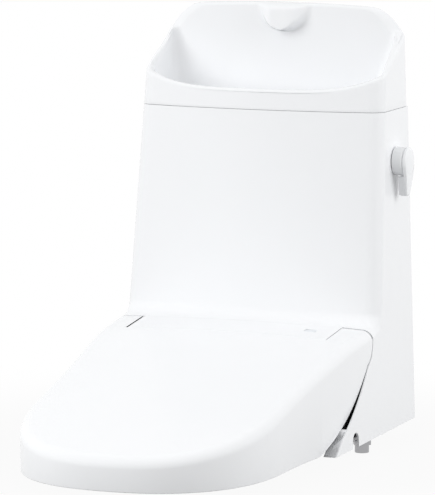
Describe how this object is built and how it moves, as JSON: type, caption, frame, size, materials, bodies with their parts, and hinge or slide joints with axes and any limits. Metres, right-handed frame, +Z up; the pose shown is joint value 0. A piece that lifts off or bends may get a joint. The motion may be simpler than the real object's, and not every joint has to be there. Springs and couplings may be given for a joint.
{
  "type": "toilet top unit with cistern, hand-wash basin and washing seat",
  "caption": "Cistern cabinet with a hand-wash basin on top and a washing seat with a hinged lid in front, flushed by a side lever; it bolts onto a toilet bowl.",
  "frame": {"origin": "midway between the two fixing holes, on the underside of the base plate, which rests on the bowl's rim", "axes": "+Z up, -Y towards the lid's tip, +X towards the side with the flush lever"},
  "size_m": [0.4238, 0.707, 0.643],
  "materials": {
    "white_gloss": "glossy white moulded plastic",
    "white_matte": "natural white plastic",
    "grey_plastic": "grey moulded plastic",
    "black_plastic": "black moulded plastic",
    "clear_tube": "milky plastic tube",
    "window": "blue-grey tinted plastic",
    "steel": "stainless steel",
    "chrome": "polished",
    "brass": "nickel-plated brass",
    "rubber": "matte black rubber"
  },
  "bodies": {
    "unit": {"cabinet_cover": "white_gloss", "rear_panel": "white_gloss", "rear_screws": "steel", "basin": "white_gloss", "basin_strainer": "chrome", "drain_tail": "grey_plastic", "spout_nozzle": "grey_plastic", "spout_tube": "clear_tube", "inner_tank": "grey_plastic", "tank_stand": "grey_plastic", "outlet_pipe": "grey_plastic", "outlet_gasket": "rubber", "valve_seat": "white_matte", "overflow_tube": "white_matte", "lift_chain": "steel", "fill_valve": "white_matte", "supply_hose": "steel", "lever_bezel": "white_gloss", "lever_nut": "white_matte", "base_plate": "grey_plastic", "base_screws": "steel", "nozzle_housing": "grey_plastic", "nozzle_drive": "black_plastic", "heater_tank": "white_matte", "control_box": "black_plastic", "receiver_window": "window", "hinge_dampers": "black_plastic", "hinge_pins": "steel", "inlet_body": "brass", "inlet_nut": "brass", "valve_unit": "grey_plastic"},
    "lid": {"lid": "white_gloss", "lid_bumpers": "rubber"},
    "seat": {"seat_ring": "white_gloss", "seat_bumpers": "rubber"},
    "lever": {"lever_shaft": "steel", "lever_handle": "white_gloss"},
    "flapper": {"flapper": "rubber"},
    "float": {"float_arm": "white_matte", "float_cup": "white_matte"},
    "wash_nozzle": {"wash_nozzle": "white_gloss"},
    "bidet_nozzle": {"bidet_nozzle": "white_gloss"}
  },
  "joints": [
    {"name": "lid_hinge", "type": "hinge", "parent": "unit", "child": "lid", "pos_m": [0, -0.015, 0.142], "axis": [-1, 0, 0], "range_deg": [0, 108]},
    {"name": "seat_hinge", "type": "hinge", "parent": "unit", "child": "seat", "pos_m": [0, -0.015, 0.142], "axis": [-1, 0, 0], "range_deg": [0, 108]},
    {"name": "lever_turn", "type": "hinge", "parent": "unit", "child": "lever", "pos_m": [0.12, 0.138, 0.393], "axis": [1, 0, 0], "range_deg": [-80, 80], "stiffness_Nm_per_rad": 0.25},
    {"name": "flapper_hinge", "type": "hinge", "parent": "unit", "child": "flapper", "pos_m": [-0.038, 0.14, 0.102], "axis": [0, -1, 0], "range_deg": [0, 60], "deforming": ["lift_chain"]},
    {"name": "float_hinge", "type": "hinge", "parent": "unit", "child": "float", "pos_m": [0.12, 0.14, 0.34], "axis": [0, 1, 0], "range_deg": [-35, 0]},
    {"name": "wash_nozzle_slide", "type": "slide", "parent": "unit", "child": "wash_nozzle", "axis": [0, -0.8192, -0.5736], "range_m": [0, 0.09]},
    {"name": "bidet_nozzle_slide", "type": "slide", "parent": "unit", "child": "bidet_nozzle", "axis": [0, -0.8192, -0.5736], "range_m": [0, 0.09]}
  ],
  "couplings": [
    {"joint": "seat_hinge", "follows": "lid_hinge", "ratio": 1}
  ]
}
